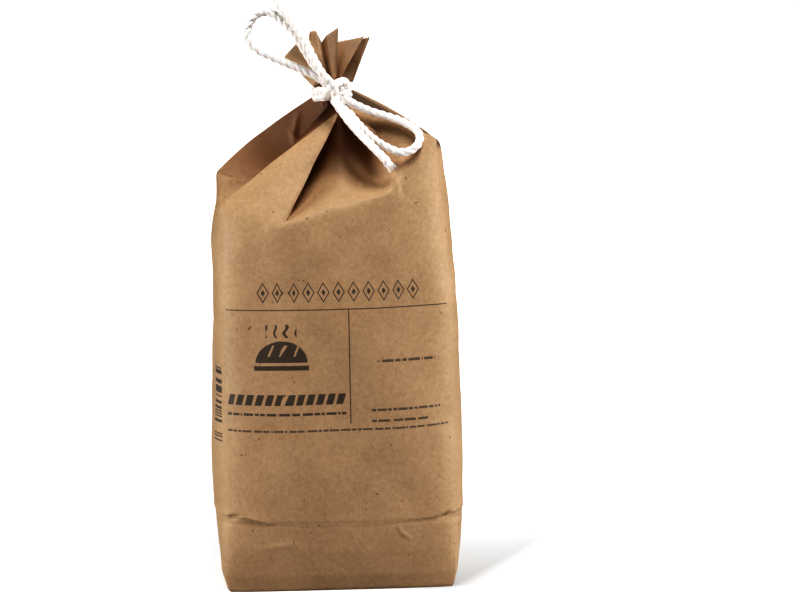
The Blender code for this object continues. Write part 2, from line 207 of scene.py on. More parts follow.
def fold_path(fold, shares):
    """Points on a fold line, from the shoulder at 0 to the collar below the tie at 1."""
    start = body_points(fold.paper, fold.shoulder) + tuck_in(fold)
    end = round_neck(fold.angle, fold.collar, fold.height)
    inward = (end - start) / np.linalg.norm(end - start)
    across = np.array([-inward[1], inward[0], 0.0])
    across /= np.linalg.norm(across)
    upward = np.cross(inward, across)
    swell = np.sin(math.pi * shares ** fold.late)[:, None]
    return start + (end - start) * shares[:, None] + (upward * fold.lift + across * fold.side) * swell


def between(table, column):
    """The two neighbours of a mesh column in a round table of column numbers, and the share between them."""
    for here, there in zip(table, table[1:] + [table[0] + COLUMNS]):
        for turn in (0, COLUMNS):
            if here <= column + turn <= there:
                return table.index(here), (column + turn - here) / (there - here)
    raise ValueError(column)


def column_values(column):
    """Paper distance, shoulder height and neck angle of a mesh column."""
    index, share = between(FOLD_COLUMNS, column)
    here = FOLDS[index]
    there = FOLDS[(index + 1) % len(FOLDS)]
    wrapped = index + 1 == len(FOLDS)
    paper = here.paper + share * (there.paper + PERIMETER * wrapped - here.paper)
    shoulder = here.shoulder + share * (there.shoulder - here.shoulder)
    angle = here.angle + share * (there.angle + 360 * wrapped - here.angle)
    return paper, shoulder, angle


def shoulder_points(column, shares):
    """Points of the pleated shoulder, on a mesh column, from the body at 0 to the collar at 1."""
    index, across = between(FOLD_COLUMNS, column)
    near = [FOLDS[(index + step) % len(FOLDS)] for step in (-1, 0, 1, 2)]
    paper, shoulder, _ = column_values(column)
    flat_start = body_points(near[1].paper, near[1].shoulder) * (1 - across)
    flat_start = flat_start + body_points(near[2].paper, near[2].shoulder) * across
    flat_start = flat_start + tuck_in(near[1]) * (1 - across) + tuck_in(near[2]) * across
    bulge = body_points(paper, shoulder) + tuck_between(near[1], near[2], across) - flat_start
    before, here, there, after = [fold_path(fold, shares) for fold in near]
    chord = there - here
    here_slope = chord if near[1].sharp else (there - before) / 2
    there_slope = chord if near[2].sharp else (after - here) / 2
    a, b = across, 1 - across
    flat = here * b * b * (1 + 2 * a) + there * a * a * (1 + 2 * b)
    flat = flat + here_slope * a * b * b - there_slope * a * a * b
    return flat + bulge * ((1 - shares) ** BULGE_FADE)[:, None]


# Mesh columns: every whole column, with steps of about 0.75 mm of paper between them
PAPER_STEP = 0.75
spots = []
for column in range(COLUMNS):
    here = column_values(column)[0]
    there = column_values(column + 1 if column + 1 < COLUMNS else 0)[0]
    there += PERIMETER * (there < here)
    steps = max(3, round((there - here) / PAPER_STEP))
    spots += [column + step / steps for step in range(steps)]
spots = np.array(spots)
spot_values = np.array([column_values(spot) for spot in spots])
paper_at, shoulder_at, angle_at = spot_values.T

# Mesh rows: close together at the foot and at the crease, then up to the shoulder and in to the neck
RISE_ROWS = 40
SHOULDER_ROWS = 96
body_heights = np.concatenate([
    np.arange(0.0, 2.4, 0.4),
    np.arange(2.4, 26.0, 1.2),
    np.arange(26.0, 40.0, 0.5),
    np.arange(40.0, BODY_TOP, 1.4),
])
rise_shares = np.linspace(0.0, 1.0, RISE_ROWS + 1)[:-1]
shoulder_shares = np.linspace(0.0, 1.0, SHOULDER_ROWS)

grid = []
level = []
for spot, (paper, shoulder, angle) in zip(spots, spot_values):
    rise = BODY_TOP + (shoulder - BODY_TOP) * rise_shares
    slope = shoulder_points(spot, shoulder_shares)
    length = np.concatenate([[0.0], np.cumsum(np.linalg.norm(np.diff(slope, axis=0), axis=1))])
    index, across = between(FOLD_COLUMNS, spot)
    tuck = tuck_between(FOLDS[index], FOLDS[(index + 1) % len(FOLDS)], across)
    below = np.concatenate([body_heights, rise])
    fade = np.clip((below - shoulder + TUCK_REACH) / TUCK_REACH, 0.0, 1.0) ** 2
    body = body_points(paper, below) + tuck * fade[:, None]
    grid.append(np.concatenate([body, slope]))
    level.append(np.concatenate([body_heights, rise, shoulder + length]))
grid = np.array(grid).transpose(1, 0, 2)
level = np.array(level).T
ROWS_BODY = len(body_heights) + len(rise_shares)


def blurred(values, sigma, axis, round_trip):
    """Values smoothed along one way of the grid with a bell of a width in rows or columns."""
    reach = int(3 * sigma) + 1
    bell = np.exp(-0.5 * (np.arange(-reach, reach + 1) / sigma) ** 2)
    bell /= bell.sum()
    pad = [(0, 0)] * values.ndim
    pad[axis] = (reach, reach)
    padded = np.pad(values, pad, mode="wrap" if round_trip else "edge")
    total = np.zeros_like(values)
    for step, weight in enumerate(bell):
        cut = [slice(None)] * values.ndim
        cut[axis] = slice(step, step + values.shape[axis])
        total += weight * padded[tuple(cut)]
    return total


def eased(x):
    """0 below 0, 1 above 1 and a smooth rise between."""
    x = np.clip(x, 0.0, 1.0)
    return x * x * (3 - 2 * x)


# The upright corners are sharp at the foot, round on the body, and sharpen into the folds of the shoulder
CORNER_BLUR = 4.6
SHARP_ABOVE = 26.0
SHARPENS_OVER = 22.0
FOOT_HEIGHT = 34.0
FOOT_ROUNDNESS = 0.1
round_corner = 1 - eased((level - (shoulder_at - SHARP_ABOVE)) / SHARPENS_OVER)
round_corner *= FOOT_ROUNDNESS + (1 - FOOT_ROUNDNESS) * eased(level / FOOT_HEIGHT)
soft = blurred(grid, CORNER_BLUR, axis=1, round_trip=True)
grid = grid + (soft - grid) * round_corner[..., None]

# The body turns over into the shoulder in a soft bend, tighter at the tips of the two sharp folds
# Mesh column, then how many rows the bend takes up there
BENDS = (
    (0.0, 1.8), (7.0, 6.0), (9.0, 1.2), (12.0, 2.0), (18.0, 3.6), (23.0, 2.0), (24.0, 1.2), (26.0, 4.0),
    (31.0, 1.6), (38.0, 3.0), (45.0, 2.0), (60.0, 7.0), (75.0, 1.6), (80.0, 1.6), (84.0, 2.0), (90.0, 2.0),
    (96.0, 4.0),
)
TIGHT_BEND = 1.2
MEDIUM_BEND = 4.0
WIDE_BEND = 7.0
bend = np.interp(spots, *zip(*BENDS))
rows = np.arange(len(grid))[:, None]
near_bend = np.exp(-0.5 * ((rows - ROWS_BODY) / (2.2 * bend[None, :] + 2.0)) ** 2)
tight = blurred(grid, 1.5, axis=0, round_trip=False)
medium = blurred(grid, 4.0, axis=0, round_trip=False)
wide = blurred(grid, 8.0, axis=0, round_trip=False)
to_medium = eased((bend - TIGHT_BEND) / (MEDIUM_BEND - TIGHT_BEND))[None, :, None]
to_wide = eased((bend - MEDIUM_BEND) / (WIDE_BEND - MEDIUM_BEND))[None, :, None]
smooth = tight + (medium - tight) * to_medium
smooth = smooth + (wide - smooth) * to_wide
grid = grid + (smooth - grid) * near_bend[..., None]


def outward(points):
    """The unit outward direction at each point of a round grid of points."""
    round_way = np.roll(points, -1, axis=1) - np.roll(points, 1, axis=1)
    up_way = np.gradient(points, axis=0)
    away = np.cross(round_way, up_way)
    return away / np.maximum(np.linalg.norm(away, axis=-1, keepdims=True), 1e-12)


def paper_gap(paper):
    """Signed distance round the paper of every column from one place on it."""
    return (paper_at - paper + PERIMETER / 2) % PERIMETER - PERIMETER / 2


rng = np.random.default_rng(7)


def soft_noise(size_round, size_up, count):
    """Slow random swells of about one unit over the paper, of a size round the bag and a size up it."""
    total = np.zeros_like(level)
    for _ in range(count):
        turns = max(1, round(PERIMETER / size_round * rng.uniform(0.6, 1.4)))
        climb = 2 * math.pi / (size_up * rng.uniform(0.6, 1.6)) * rng.choice((-1, 1))
        phase = rng.uniform(0, 2 * math.pi)
        total += np.sin(2 * math.pi * turns * paper_at[None, :] / PERIMETER + climb * level + phase)
    return total / math.sqrt(count / 2)


# The flour pushes the paper out in broad, low swells, and in smaller ones, which die out at both ends
BROAD_SWELL = 0.30
SMALL_SWELL = 0.09
push = BROAD_SWELL * soft_noise(60.0, 75.0, 6) + SMALL_SWELL * soft_noise(22.0, 26.0, 8)
push *= eased(level / 10.0) * (1 - eased((level - 205.0) / 20.0))

# The fold line that the flat bag was pressed to, above the block bottom: the paper hangs over it a little
# Distance from the middle of the front, then how far the line rises there, or how far the paper hangs out
CREASE_RISES = (
    (-80, 4.0), (-54, 3.2), (-42, 2.6), (-33, 0.4), (-18, -0.9), (16, -0.6), (42, 1.6), (54, 3.0), (80, 3.6),
)
OVERHANGS = ((-60, 0.3), (-50, 0.5), (-38, 0.9), (-28, 0.08), (30, 0.08), (44, 0.4), (56, 0.3))
HANGS_FROM = 3.0
UNDERCUT = 0.8
UNDERCUT_REACH = 2.2
from_middle = paper_gap(PANEL_FRONT / 2)
crease_line = CREASE_HEIGHT + np.interp(from_middle, *zip(*CREASE_RISES))[None, :]
overhang = np.interp(from_middle, *zip(*OVERHANGS))[None, :]
above = level - crease_line
hanging = overhang * np.exp(-above / HANGS_FROM)
push += np.where(above > 0, hanging, -overhang * UNDERCUT * np.exp(above / UNDERCUT_REACH))


def crinkle(route, width, height):
    """A small ridge, or with a height below 0 a groove, along a route of paper distances and levels."""
    nearest = np.full(level.shape, 1e9)
    lengths = [math.dist(here, there) for here, there in zip(route, route[1:])]
    share = np.zeros(level.shape)
    for index, (here, there) in enumerate(zip(route, route[1:])):
        across, upward = paper_gap(here[0])[None, :], level - here[1]
        step_across, step_up = there[0] - here[0], there[1] - here[1]
        along = np.clip((across * step_across + upward * step_up) / lengths[index] ** 2, 0.0, 1.0)
        away = np.hypot(across - along * step_across, upward - along * step_up)
        closer = away < nearest
        share = np.where(closer, (sum(lengths[:index]) + along * lengths[index]) / sum(lengths), share)
        nearest = np.minimum(nearest, away)
    taper = np.sqrt(np.clip(4 * share * (1 - share) + 0.15, 0.0, 1.0))
    return height * taper * np.exp(-(nearest / width) ** 2)


# Small creases and dents: route of paper distance and level, width, height
CRINKLES = (
    (((291.0, 240.5), (297.0, 233.2), (303.0, 229.0), (308.0, 222.5)), 1.5, 1.0),
    (((294.6, 233.0), (299.0, 230.6), (303.0, 229.0)), 1.2, 0.7),
    (((301.0, 192.6), (305.5, 192.2), (309.1, 191.2), (317.0, 191.8)), 0.9, -0.7),
    (((316.6, 191.6), (319.2, 191.6)), 1.5, -1.6),
    (((295.0, 204.0), (303.4, 198.0), (310.0, 194.6)), 2.0, 0.7),
    (((20.0, 21.8), (28.0, 23.2), (36.0, 22.2)), 1.0, 0.4),
    (((79.0, 31.0), (81.0, 27.6), (85.0, 24.8)), 0.9, 0.4),
    (((2.6, 35.8), (4.6, 36.2), (8.0, 36.6)), 0.9, -1.2),
    (((98.0, 34.6), (100.5, 35.0), (103.0, 36.2)), 0.9, -1.1),
    (((84.4, 190.0), (84.6, 187.0), (84.4, 184.0)), 1.3, 0.5),
    (((82.6, 186.4), (76.0, 184.6), (69.0, 184.4)), 1.2, -0.5),
    (((86.4, 185.6), (88.0, 182.5)), 1.2, -0.3),
)
for route, width, height in CRINKLES:
    push += crinkle(route, width, height)
grid = grid + outward(grid) * push[..., None]

# The gathered neck under the tie, with small upright pleats
NECK_ROWS = 10
NECK_LEAST = 2.0
NECK_STEP = 0.4
NECK_PLEATS = 11
NECK_PLEAT_DEPTH = 0.3
neck_rows = []
neck_start = np.clip(grid[-1, :, 2] + NECK_STEP, NECK_LOW, NECK_HIGH - NECK_LEAST)
turn = np.radians(angle_at)
radius = NECK_RADIUS + NECK_PLEAT_DEPTH * np.sin(turn * NECK_PLEATS)
for share in np.linspace(0.0, 1.0, NECK_ROWS):
    height = neck_start + (NECK_HIGH - neck_start) * share
    neck_rows.append(np.stack([NECK_X + radius * np.sin(turn), -radius * np.cos(turn), height], -1))
neck = np.array(neck_rows)

# The ruff, the fanned paper above the tie
PAPER_THICKNESS = 0.32
RUFF_ROWS = 26
RUFF_CLOSING = 0.3
# Mesh column, then angle turned, radius and height of the fold at the tie, then the place of its top end
RUFF = (
    (74, 0.0, 8.0, 233.6, (-19.5, 3.0, 246.0)),
    (76, 0.0, 8.4, 230.0, (-24.0, -3.0, 244.0)),
    (80, 6.0, 9.4, 233.6, (-18.4, -8.6, 250.0)),
    (81, 6.0, 6.0, 234.0, (-16.4, -2.0, 249.0)),
    (82, 4.0, 9.2, 234.2, (-17.0, -7.8, 251.6)),
    (84, 0.0, 6.8, 234.2, (-13.2, -6.0, 250.0)),
    (86, 0.0, 9.2, 234.2, (-12.4, -11.0, 255.2)),
    (88, 0.0, 9.0, 234.2, (-9.6, -11.6, 255.6)),
    (90, 0.0, 6.0, 234.2, (-6.9, -6.4, 250.5)),
    (95, -4.0, 8.8, 234.2, (-4.8, -11.4, 253.6)),
    (106, 0.0, 9.2, 234.2, (0.4, -13.5, 257.0)),
    (109, 0.0, 6.8, 234.2, (-0.9, -6.0, 250.5)),
    (122, -22.0, 9.4, 234.2, (12.2, -10.5, 253.0)),
    (126, -14.0, 4.6, 234.2, (8.2, 3.6, 251.5)),
    (136, 0.0, 9.8, 232.6, (15.3, -3.4, 253.0)),
    (142, 0.0, 6.0, 234.2, (8.5, 5.0, 250.5)),
    (148, 0.0, 9.0, 234.2, (10.5, 11.5, 252.0)),
    (151, 0.0, 5.6, 234.2, (3.5, 5.5, 249.0)),
    (155, 0.0, 9.0, 234.2, (-0.5, 14.5, 253.5)),
    (158, 0.0, 5.6, 234.2, (-4.0, 6.0, 249.0)),
    (161, 0.0, 9.0, 234.2, (-10.5, 12.5, 252.0)),
    (164, 0.0, 5.6, 234.2, (-9.5, 4.5, 249.0)),
    (167, 0.0, 8.6, 234.2, (-18.0, 7.6, 249.0)),
)
RUFF_COLUMNS = [row[0] for row in RUFF]


def ruff_points(column, shares):
    """Points of the fanned ruff, on a mesh column, from its base at 0 to the paper's top edge at 1."""
    index, across = between(RUFF_COLUMNS, column if column >= RUFF_COLUMNS[0] else column + COLUMNS)
    ends = []
    for row in (RUFF[index], RUFF[(index + 1) % len(RUFF)]):
        angle = column_values(row[0] % COLUMNS)[2]
        low = round_neck(angle + row[1], row[2], row[3])
        ends.append(low * (1 - shares[:, None]) + np.array(row[4]) * shares[:, None])
    return ends[0] * (1 - across) + ends[1] * across


ruff_shares = np.linspace(0.0, 1.0, RUFF_ROWS)
ruff = np.array([ruff_points(spot, ruff_shares) for spot in spots]).transpose(1, 0, 2)
ruff_inside = ruff - outward(ruff) * PAPER_THICKNESS
axis_point = np.stack([np.full(len(spots), NECK_X), np.zeros(len(spots))], -1)
closing = ruff_inside[:1].copy()
closing[0, :, :2] = axis_point + (closing[0, :, :2] - axis_point) * RUFF_CLOSING

# The levels carry on up the neck and the ruff, whose inside shares those of its outside
NECK_LEVEL_STEP = 1.0
NECK_LEVELS = 12.0
RUFF_LEVEL_STEP = 2.0
RUFF_LEVELS = 24.0
skin = np.concatenate([grid, neck, ruff, ruff_inside[::-1], closing])
neck_level = level[-1][None, :] + np.linspace(NECK_LEVEL_STEP, NECK_LEVELS, NECK_ROWS)[:, None]
ruff_level = neck_level[-1][None, :] + RUFF_LEVEL_STEP + RUFF_LEVELS * ruff_shares[:, None]
skin_level = np.concatenate([level, neck_level, ruff_level, ruff_level[::-1], ruff_level[:1]])

# The underside: share of the base's size, and level, of each inner ring; they lie a little above the table
BASE_RINGS = ((0.35, -38.0), (0.7, -20.0), (0.96, -2.0))
BASE_HOLLOW = 0.25
base_rings = []
base_levels = []
for shrink, base_level in BASE_RINGS:
    base_rings.append(skin[0] * np.array([shrink, shrink, 1.0]) + np.array([0.0, 0.0, BASE_HOLLOW]))
    base_levels.append(np.full(len(spots), base_level))
skin = np.concatenate([np.array(base_rings), skin])
skin_level = np.concatenate([np.array(base_levels), skin_level])
rows_count, spots_count = skin.shape[:2]
points = skin.reshape(-1, 3) * MM
faces = []
for row in range(rows_count - 1):
    low = row * spots_count
    for k in range(spots_count):
        after = (k + 1) % spots_count
        faces.append((low + k, low + after, low + spots_count + after, low + spots_count + k))
faces.append(tuple(reversed(range(spots_count))))
faces.append(tuple(range((rows_count - 1) * spots_count, rows_count * spots_count)))
bag_mesh = bpy.data.meshes.new("flour bag")
bag_mesh.from_pydata(points.tolist(), [], faces)
bag_mesh.validate()
bag_mesh.shade_smooth()
# The flat sheet that the print is laid out on: distance round the paper and level, in metres
sheet = bag_mesh.uv_layers.new(name="sheet")
corner_points = np.zeros(len(bag_mesh.loops), dtype=np.int64)
bag_mesh.loops.foreach_get("vertex_index", corner_points)
paper_of = np.tile(paper_at, rows_count)[corner_points]
level_of = skin_level.reshape(-1)[corner_points]
seam = np.zeros(len(bag_mesh.loops), dtype=bool)
starts = np.arange(0, 4 * (rows_count - 1) * spots_count, 4).reshape(rows_count - 1, spots_count)[:, -1]
for offset in (1, 2):
    seam[starts + offset] = True
paper_of = np.where(seam, paper_of + PERIMETER, paper_of)
sheet.data.foreach_set("uv", np.stack([paper_of, level_of], -1).reshape(-1) * MM)
flour_bag = bpy.data.objects.new("flour_bag", bag_mesh)
bpy.context.scene.collection.objects.link(flour_bag)
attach(flour_bag, "root")
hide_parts("bag")


class Value:
    """One number over a surface, carried by a node socket, with arithmetic that adds the Math nodes."""

    def __init__(self, finish, socket):
        self.finish = finish
        self.socket = socket

    def joined(self, operation, *others):
        inputs = dict(enumerate((self, *others)))
        return self.finish.value("ShaderNodeMath", {"operation": operation}, inputs)

    def __add__(self, other):
        return self.joined("ADD", other)

    def __radd__(self, other):
        return self.joined("ADD", other)

    def __sub__(self, other):
        return self.joined("SUBTRACT", other)

    def __rsub__(self, other):
        return self.finish.value("ShaderNodeMath", {"operation": "SUBTRACT"}, {0: other, 1: self})

    def __mul__(self, other):
        return self.joined("MULTIPLY", other)

    def __truediv__(self, other):
        return self.joined("DIVIDE", other)

    def __abs__(self):
        return self.joined("ABSOLUTE")

    def __mod__(self, other):
        return self.joined("FLOORED_MODULO", other)

    def largest(self, other):
        return self.joined("MAXIMUM", other)

    def least(self, other):
        return self.joined("MINIMUM", other)

    def whole(self):
        return self.joined("FLOOR")

    def power(self, other):
        return self.joined("POWER", other)

    def held(self):
        return self.largest(0.0).least(1.0)

    def above(self, limit, edge):
        """0 well below the limit and 1 well above it, with a soft edge."""
        return ((self - limit) / edge + 0.5).held()


class Finish:
    """One material and the node calls that mix it."""

    def __init__(self, name):
        self.material = bpy.data.materials.new(name)
        self.material.use_nodes = True
        self.tree = self.material.node_tree
        self.shader = self.tree.nodes["Principled BSDF"]

    def node(self, kind, settings, inputs):
        """Adds a node of a type, with its settings first and then the values or links of its sockets."""
        node = self.tree.nodes.new(kind)
        for name, setting in settings.items():
            if name == "stops":
                while len(node.color_ramp.elements) < len(setting):
                    node.color_ramp.elements.new(1.0)
                for element, (stop, stop_colour) in zip(node.color_ramp.elements, setting):
                    element.position = stop
                    element.color = stop_colour
            else:
                setattr(node, name, setting)
        for key, given in inputs.items():
            self.feed(node.inputs[key], given)
        return node

    def feed(self, socket, given):
        """Sets or links one socket."""
        if isinstance(given, Value):
            self.tree.links.new(given.socket, socket)
        elif isinstance(given, bpy.types.NodeSocket):
            self.tree.links.new(given, socket)
        else:
            socket.default_value = given

    def value(self, kind, settings, inputs, output=0):
        """A number from a node's output."""
        return Value(self, self.node(kind, settings, inputs).outputs[output])

    def noise(self, place, scale, detail=2.0, roughness=0.5):
        """Fractal noise from 0 to 1 at a place, its scale in waves per metre."""
        inputs = {"Vector": place, "Scale": scale, "Detail": detail, "Roughness": roughness}
        return self.value("ShaderNodeTexNoise", {}, inputs)

    def mixed(self, share, first, second):
        """A colour between two others."""
        inputs = {0: share, 6: first, 7: second}
        return self.node("ShaderNodeMix", {"data_type": "RGBA", "clamp_factor": True}, inputs).outputs[2]

    def stretched(self, place, stretch):
        """A place scaled along each of its axes."""
        inputs = {0: place, 1: stretch}
        return self.node("ShaderNodeVectorMath", {"operation": "MULTIPLY"}, inputs).outputs[0]

    def surface(self, **inputs):
        """Sets or links the shader's own sockets, by their names with underscores."""
        for name, given in inputs.items():
            self.feed(self.shader.inputs[name.replace("_", " ")], given)


def colour(red, green, blue):
    """A colour given as it shows on a screen, from 0 to 255, as the shader wants it."""
    linear = []
    for part in (red / 255, green / 255, blue / 255):
        linear.append(part / 12.92 if part <= 0.04045 else ((part + 0.055) / 1.055) ** 2.4)
    return (*linear, 1.0)


kraft = Finish("kraft_paper")
place = kraft.node("ShaderNodeTexCoord", {}, {}).outputs["Object"]
sheet_place = kraft.node("ShaderNodeUVMap", {"uv_map": "sheet"}, {}).outputs[0]
sheet_parts = kraft.node("ShaderNodeSeparateXYZ", {}, {0: sheet_place})
paper_x = Value(kraft, sheet_parts.outputs[0]) * 1000.0
paper_y = Value(kraft, sheet_parts.outputs[1]) * 1000.0

side_x = (paper_x + PERIMETER / 2) % PERIMETER - PERIMETER / 2


def block(x, y, left, right, low, high, edge=0.16):
    """1 inside a rectangle of paper distance and height and 0 outside it."""
    across = ((right - left) / 2 - abs(x - (left + right) / 2)) / edge + 0.5
    upright = ((high - low) / 2 - abs(y - (low + high) / 2)) / edge + 0.5
    return across.least(upright).held()


clouds = kraft.noise(place, 55.0, 3.0)
mottle = kraft.noise(place, 420.0, 3.0, 0.6)
grain = kraft.noise(place, 1500.0, 2.0, 0.6)
fibres = kraft.noise(kraft.stretched(sheet_place, (2600.0, 420.0, 1.0)), 1.0, 2.0, 0.6)
flecks = kraft.noise(kraft.stretched(place, (700.0, 700.0, 500.0)), 1.0, 0.0)
tone = clouds * 0.2 + mottle * 0.3 + grain * 0.35 + fibres * 0.15
paper_colour = kraft.node(
    "ShaderNodeValToRGB",
    {"stops": ((0.36, colour(176, 149, 120)), (0.5, colour(188, 161, 132)), (0.64, colour(200, 174, 144)))},
    {0: tone},
).outputs[0]
# Painted shade: paper deep in the tucks and folds, where they shade it, is painted darker
left_tuck_shade = block(side_x, paper_y, -58.0, -7.0, 176.0, 258.0, 0.8)
left_tuck_shade = left_tuck_shade * (paper_y.above(203.0, 30.0) * 0.75 + 0.25)
# painted shade on the right gusset and on two shaded flaps of the ruff
right_tuck_shade = block(side_x, paper_y, 110.0, 166.0, 204.0, 262.0, 3.0)
right_tuck_shade = right_tuck_shade.largest(block(side_x, paper_y, 101.0, 147.0, 258.0, 330.0, 5.0))
right_tuck_shade = right_tuck_shade.largest(block(side_x, paper_y, -27.0, -14.0, 240.0, 274.0, 5.0) * 0.55)
# painted shade in the hollow below the tie, darker towards the neck
hollow_shade = block(side_x, paper_y, 30.0, 85.5, 207.0, 250.0, 18.0)
paper_colour = kraft.mixed(left_tuck_shade.largest(hollow_shade) * 0.68, paper_colour, colour(110, 62, 22))
# painted shade: a darker wedge in the left tuck beside the knot
deep_tuck_shade = block(side_x, paper_y, -38.0, -9.0, 213.0, 262.0, 9.0)
paper_colour = kraft.mixed(deep_tuck_shade * 0.5, paper_colour, colour(74, 38, 12))
paper_colour = kraft.mixed(right_tuck_shade * 0.82, paper_colour, colour(66, 40, 20))
# Painted light: the fanned ruff above the tie is painted paler, to look as brightly lit as the body
ruff_painted_light = paper_y.above(262.0, 6.0)
paper_colour = kraft.mixed(ruff_painted_light * 0.3, paper_colour, colour(226, 202, 178))
specks = flecks.above(0.845, 0.02)
paper_colour = kraft.mixed(specks * 0.55, paper_colour, colour(96, 62, 36))

# The print, in one dark ink with slightly rough edges, a little out of level
INK = colour(84, 78, 72)
PRINT_SLOPE = 0.018
INK_SPREAD = 0.10
print_x = paper_x + (grain - 0.5) * INK_SPREAD
print_y = paper_y - (paper_x - PANEL_FRONT / 2) * PRINT_SLOPE + (mottle - 0.5) * INK_SPREAD


def dashes(left, right, low, high, beat):
    """A line of plain dashes of uneven length, in two beats that each leave a gap after a dash."""
    gaps = ((print_x % beat[0]) - beat[1]).largest((print_x % beat[2]) - beat[3])
    return block(print_x, print_y, left, right, low, high) * (1.0 - gaps.above(0.0, 0.2))


# Two plain rules, one across and one upright
ink = block(print_x, print_y, 1.5, 105.5, 131.8, 132.25)
ink = ink.largest(block(print_x, print_y, 58.3, 58.75, 80.0, 131.9))

# A row of outlined diamonds, each with a small solid one inside
lozenge_x = abs((print_x - 16.2) % 6.9 - 3.45)
lozenge_y = abs(print_y - 139.8)
lozenge = lozenge_x / 3.0 + lozenge_y / 4.9
rim = 1.0 - abs(lozenge - 0.86).above(0.085, 0.05)
pip = 1.0 - lozenge.above(0.30, 0.05)
ink = ink.largest(rim.largest(pip) * block(print_x, print_y, 16.2, 92.1, 133.8, 145.8))

# A sliced loaf on a board, with wisps of steam
loaf = ((print_x - 28.0) / 11.6).power(2.0) + ((print_y - 108.4) / 9.6).power(2.0)
loaf = (1.0 - loaf.above(1.0, 0.05)) * print_y.above(108.4, 0.2)
slash = abs((print_x - 24.4 - (print_y - 110.0) * 0.45) % 5.6 - 2.8)
slash = (1.0 - slash.above(0.55, 0.16)) * block(print_x, print_y, 19.5, 36.5, 111.2, 116.2)
ink = ink.largest(loaf * (1.0 - slash))
ink = ink.largest(block(print_x, print_y, 15.8, 40.2, 104.9, 107.0))
steam = abs(print_x % 4.6 - 2.3 + (print_y * 1.2).joined("SINE") * 0.5)
steam = (1.0 - steam.above(0.5, 0.16)) * block(print_x, print_y, 20.8, 34.6, 119.6, 125.4)
ink = ink.largest(steam)

# A band of slanting bars, then the lines of dashes
slant = abs((print_x - 2.0 - (print_y - 91.0) * 0.3) % 4.54 - 2.27)
ink = ink.largest((1.0 - slant.above(1.55, 0.16)) * block(print_x, print_y, 2.0, 56.6, 89.0, 93.8))
ink = ink.largest(dashes(2.0, 56.6, 84.2, 85.3, (5.3, 4.5, 9.1, 8.5)))
PALE_LINES = (
    (1.6, 104.6, 76.6, 77.5, (7.7, 7.0, 4.9, 4.4)),
    (71.0, 98.0, 107.4, 108.6, (6.1, 5.3, 10.3, 9.6)),
    (68.0, 100.0, 85.2, 86.3, (4.7, 4.1, 9.7, 9.0)),
    (68.0, 93.5, 80.2, 81.3, (5.9, 5.2, 11.1, 10.3)),
)
for line in PALE_LINES:
    ink = ink.largest(dashes(*line) * 0.85)

# A stack of stripes of uneven thickness on the left side
bar_number = (paper_y / 0.62).whole()
bars = kraft.value("ShaderNodeTexWhiteNoise", {"noise_dimensions": "1D"}, {"W": bar_number}, output=0)
bars = bars.above(0.52, 0.01) * block(side_x, paper_y, -13.0, -3.2, 69.0, 104.5)
ink = ink.largest(bars)

ink_cover = ink * (0.96 - (1.0 - grain) * 0.12)
paper_colour = kraft.mixed(ink_cover, paper_colour, INK)
relief = grain * 0.5 + fibres * 0.3 + mottle * 0.6 + clouds * 0.5
bump = kraft.node("ShaderNodeBump", {}, {"Strength": 0.35, "Distance": 0.00018, "Height": relief}).outputs[0]
kraft.surface(
    Base_Color=paper_colour,
    Roughness=0.52 + mottle * 0.12 - ink * 0.04,
    Specular_IOR_Level=0.5,
    Normal=bump,
)
bag_mesh.materials.append(kraft.material)

# The bow
# Soft white cotton cord, three strands twisted together, about 3.8 mm thick. One length of it goes twice
# round the neck and is tied in a bow, with a loop and a frayed loose end on each side.
CORD_DIAMETER = 3.8
CORD_TURN = 11.0
STRAND_OFFSET = 0.68
STRAND_RADIUS = 1.24
PARTED_OFFSET = 0.45
PARTED_THINNER = 0.20
PARTED_REACH = 2.2
END_ROUND = 0.9
CORD_STEP = 0.45
LAY_LENGTH = 100.0
YARNS = 18
YARN_SLANT = 1.15
CORD_POINTS = 36
CURVE_STEPS = 24
FIBRES = 96
FIBRE_RADIUS = 0.08
FIBRE_STEPS = 4
FIBRE_SIDES = 4


def smooth_route(points, spacing):
    """Places along the smooth curve through given points, about a spacing apart."""
    points = [np.array(point, float) for point in points]
    fine = []
    whole = [points[0] * 2 - points[1], *points, points[-1] * 2 - points[-2]]
    for before, here, there, after in zip(whole, whole[1:], whole[2:], whole[3:]):
        for step in range(CURVE_STEPS):
            t = step / CURVE_STEPS
            fine.append(
                0.5 * (2 * here + (there - before) * t + (2 * before - 5 * here + 4 * there - after) * t * t
                       + (3 * here - 3 * there + after - before) * t ** 3)
            )
    fine.append(points[-1])
    fine = np.array(fine)
    along = np.concatenate([[0.0], np.cumsum(np.linalg.norm(np.diff(fine, axis=0), axis=1))])
    places = np.linspace(0.0, along[-1], max(2, round(along[-1] / spacing)) + 1)
    return np.stack([np.interp(places, along, fine[:, axis]) for axis in range(3)], axis=1)


def strand_section(count, parted=0.0):
    """Angles round the cord, and the reach of its outline: three strands, more or less parted."""
    turn = np.arange(count) * 2 * math.pi / count
    off = (turn + math.pi / 3) % (2 * math.pi / 3) - math.pi / 3
    offset = STRAND_OFFSET + PARTED_OFFSET * parted
    radius = STRAND_RADIUS - PARTED_THINNER * parted
    return turn, offset * np.cos(off) + np.sqrt(radius ** 2 - (offset * np.sin(off)) ** 2)


